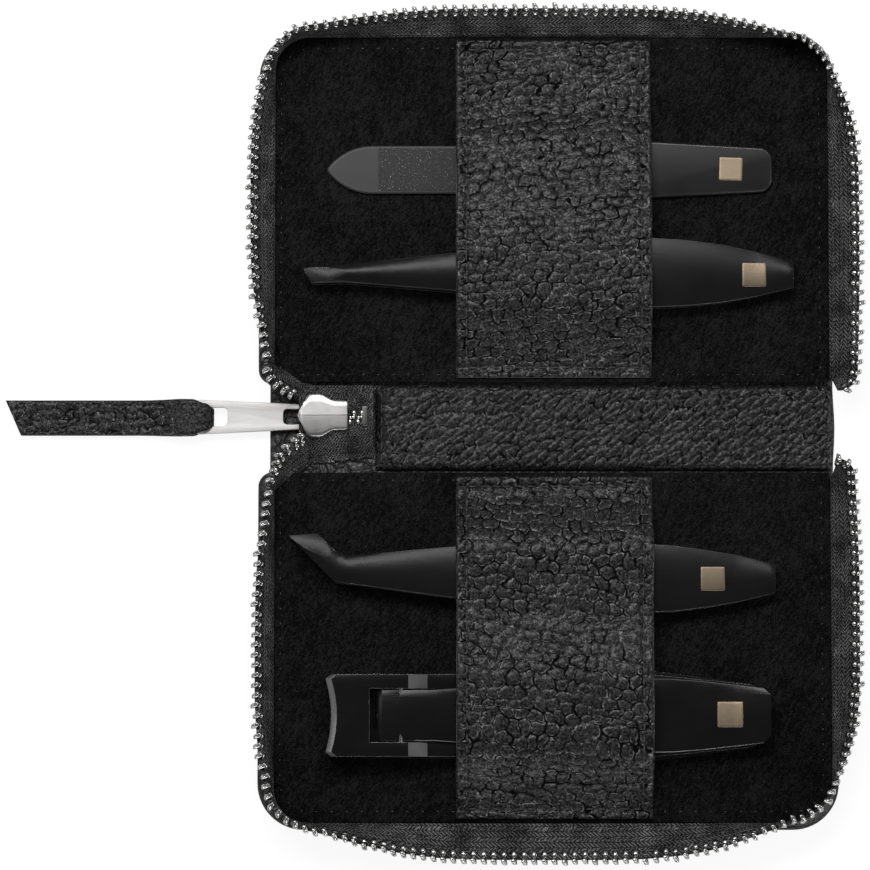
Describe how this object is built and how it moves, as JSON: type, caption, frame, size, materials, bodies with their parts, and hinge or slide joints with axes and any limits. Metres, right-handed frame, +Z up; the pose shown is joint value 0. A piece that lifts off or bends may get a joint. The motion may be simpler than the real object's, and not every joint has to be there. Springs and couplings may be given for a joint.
{
  "type": "manicure set case",
  "caption": "Zip-around leather case lying open, with a strap in each half that holds a nail file, two tweezers and a nail clipper.",
  "frame": {"origin": "middle of the spine's underside, the face that the open case lies on", "axes": "+X along the spine away from the zip slider, +Y towards the upper half, +Z up out of the open case"},
  "size_m": [0.1662, 0.1667, 0.0114],
  "materials": {
    "cover_leather": "grained",
    "stiffener_board": "matt",
    "suede_lining": "napped",
    "grained_leather": "pebbled",
    "tab_leather": "pebbled",
    "zip_tape": "woven",
    "nickel_teeth": "bright",
    "polished_nickel": "polished",
    "black_steel": "satin black",
    "file_grit": "gritted"
  },
  "bodies": {
    "lower_half": {"lower_cover": "cover_leather", "lower_board": "stiffener_board", "lower_lining": "suede_lining", "lower_strap": "grained_leather", "lower_zip_tape": "zip_tape", "lower_zip_teeth": "nickel_teeth"},
    "spine": {"spine_cover": "cover_leather", "spine_lining": "grained_leather", "zip_end_tape": "zip_tape", "zip_end_teeth": "nickel_teeth", "zip_bottom_stop": "nickel_teeth"},
    "upper_half": {"upper_cover": "cover_leather", "upper_board": "stiffener_board", "upper_lining": "suede_lining", "upper_strap": "grained_leather", "upper_zip_tape": "zip_tape", "upper_zip_teeth": "nickel_teeth"},
    "slider": {"zip_slider": "polished_nickel"},
    "puller": {"zip_puller": "polished_nickel"},
    "tab": {"puller_tab": "tab_leather"},
    "nail_file": {"file_blade": "black_steel", "file_grit": "file_grit"},
    "slant_tweezers": {"slant_tweezers_lower_arm": "black_steel"},
    "slant_tweezers_arm": {"slant_tweezers_upper_arm": "black_steel"},
    "angled_tweezers": {"angled_tweezers_lower_arm": "black_steel"},
    "angled_tweezers_arm": {"angled_tweezers_upper_arm": "black_steel"},
    "clipper": {"clipper_lower_arm": "black_steel", "clipper_post": "black_steel", "clipper_rivet": "black_steel"},
    "clipper_jaw": {"clipper_upper_arm": "black_steel"},
    "clipper_lever": {"clipper_lever": "black_steel", "clipper_axle": "black_steel"}
  },
  "joints": [
    {"name": "spine_fold", "type": "hinge", "parent": "lower_half", "child": "spine", "pos_m": [0, -0.0085, 0.0028], "axis": [1, 0, 0], "range_deg": [0, 90]},
    {"name": "upper_fold", "type": "hinge", "parent": "spine", "child": "upper_half", "pos_m": [0, 0.0085, 0.0028], "axis": [1, 0, 0], "range_deg": [0, 90]},
    {"name": "slider_slide", "type": "slide", "parent": "spine", "child": "slider", "axis": [1, 0, 0], "range_m": [0, 0.0018]},
    {"name": "puller_swing", "type": "hinge", "parent": "slider", "child": "puller", "pos_m": [-0.047, 0.00206, 0.00255], "axis": [0, 1, 0], "range_deg": [-2.5, 4]},
    {"name": "tab_swing", "type": "hinge", "parent": "puller", "child": "tab", "pos_m": [-0.06804, 0.00206, 0.00202], "axis": [0, 1, 0], "range_deg": [-7, 7]},
    {"name": "file_slide", "type": "slide", "parent": "upper_half", "child": "nail_file", "axis": [1, 0, 0], "range_m": [-0.009, 0.01]},
    {"name": "slant_tweezers_slide", "type": "slide", "parent": "upper_half", "child": "slant_tweezers", "axis": [1, 0, 0], "range_m": [-0.005, 0.0065]},
    {"name": "slant_tweezers_squeeze", "type": "hinge", "parent": "slant_tweezers", "child": "slant_tweezers_arm", "pos_m": [0.04, 0.0297, 0.0055], "axis": [0, -1, 0], "range_deg": [0, 1.3], "stiffness_Nm_per_rad": 5},
    {"name": "angled_tweezers_slide", "type": "slide", "parent": "lower_half", "child": "angled_tweezers", "axis": [1, 0, 0], "range_m": [-0.0025, 0.01]},
    {"name": "angled_tweezers_squeeze", "type": "hinge", "parent": "angled_tweezers", "child": "angled_tweezers_arm", "pos_m": [0.0361, -0.0296, 0.0055], "axis": [0, -1, 0], "range_deg": [0, 1.3], "stiffness_Nm_per_rad": 5},
    {"name": "clipper_slide", "type": "slide", "parent": "lower_half", "child": "clipper", "axis": [1, 0, 0], "range_m": [-0.009, 0.011]},
    {"name": "clipper_squeeze", "type": "hinge", "parent": "clipper", "child": "clipper_jaw", "pos_m": [0.03, -0.0561, 0.00427], "axis": [0, -1, 0], "range_deg": [0, 1.3], "stiffness_Nm_per_rad": 12},
    {"name": "clipper_lever_lift", "type": "hinge", "parent": "clipper_jaw", "child": "clipper_lever", "pos_m": [-0.0289, -0.0561, 0.00847], "axis": [0, -1, 0], "range_deg": [0, 2.4]}
  ],
  "couplings": [
    {"joint": "upper_fold", "follows": "spine_fold", "ratio": 1}
  ]
}
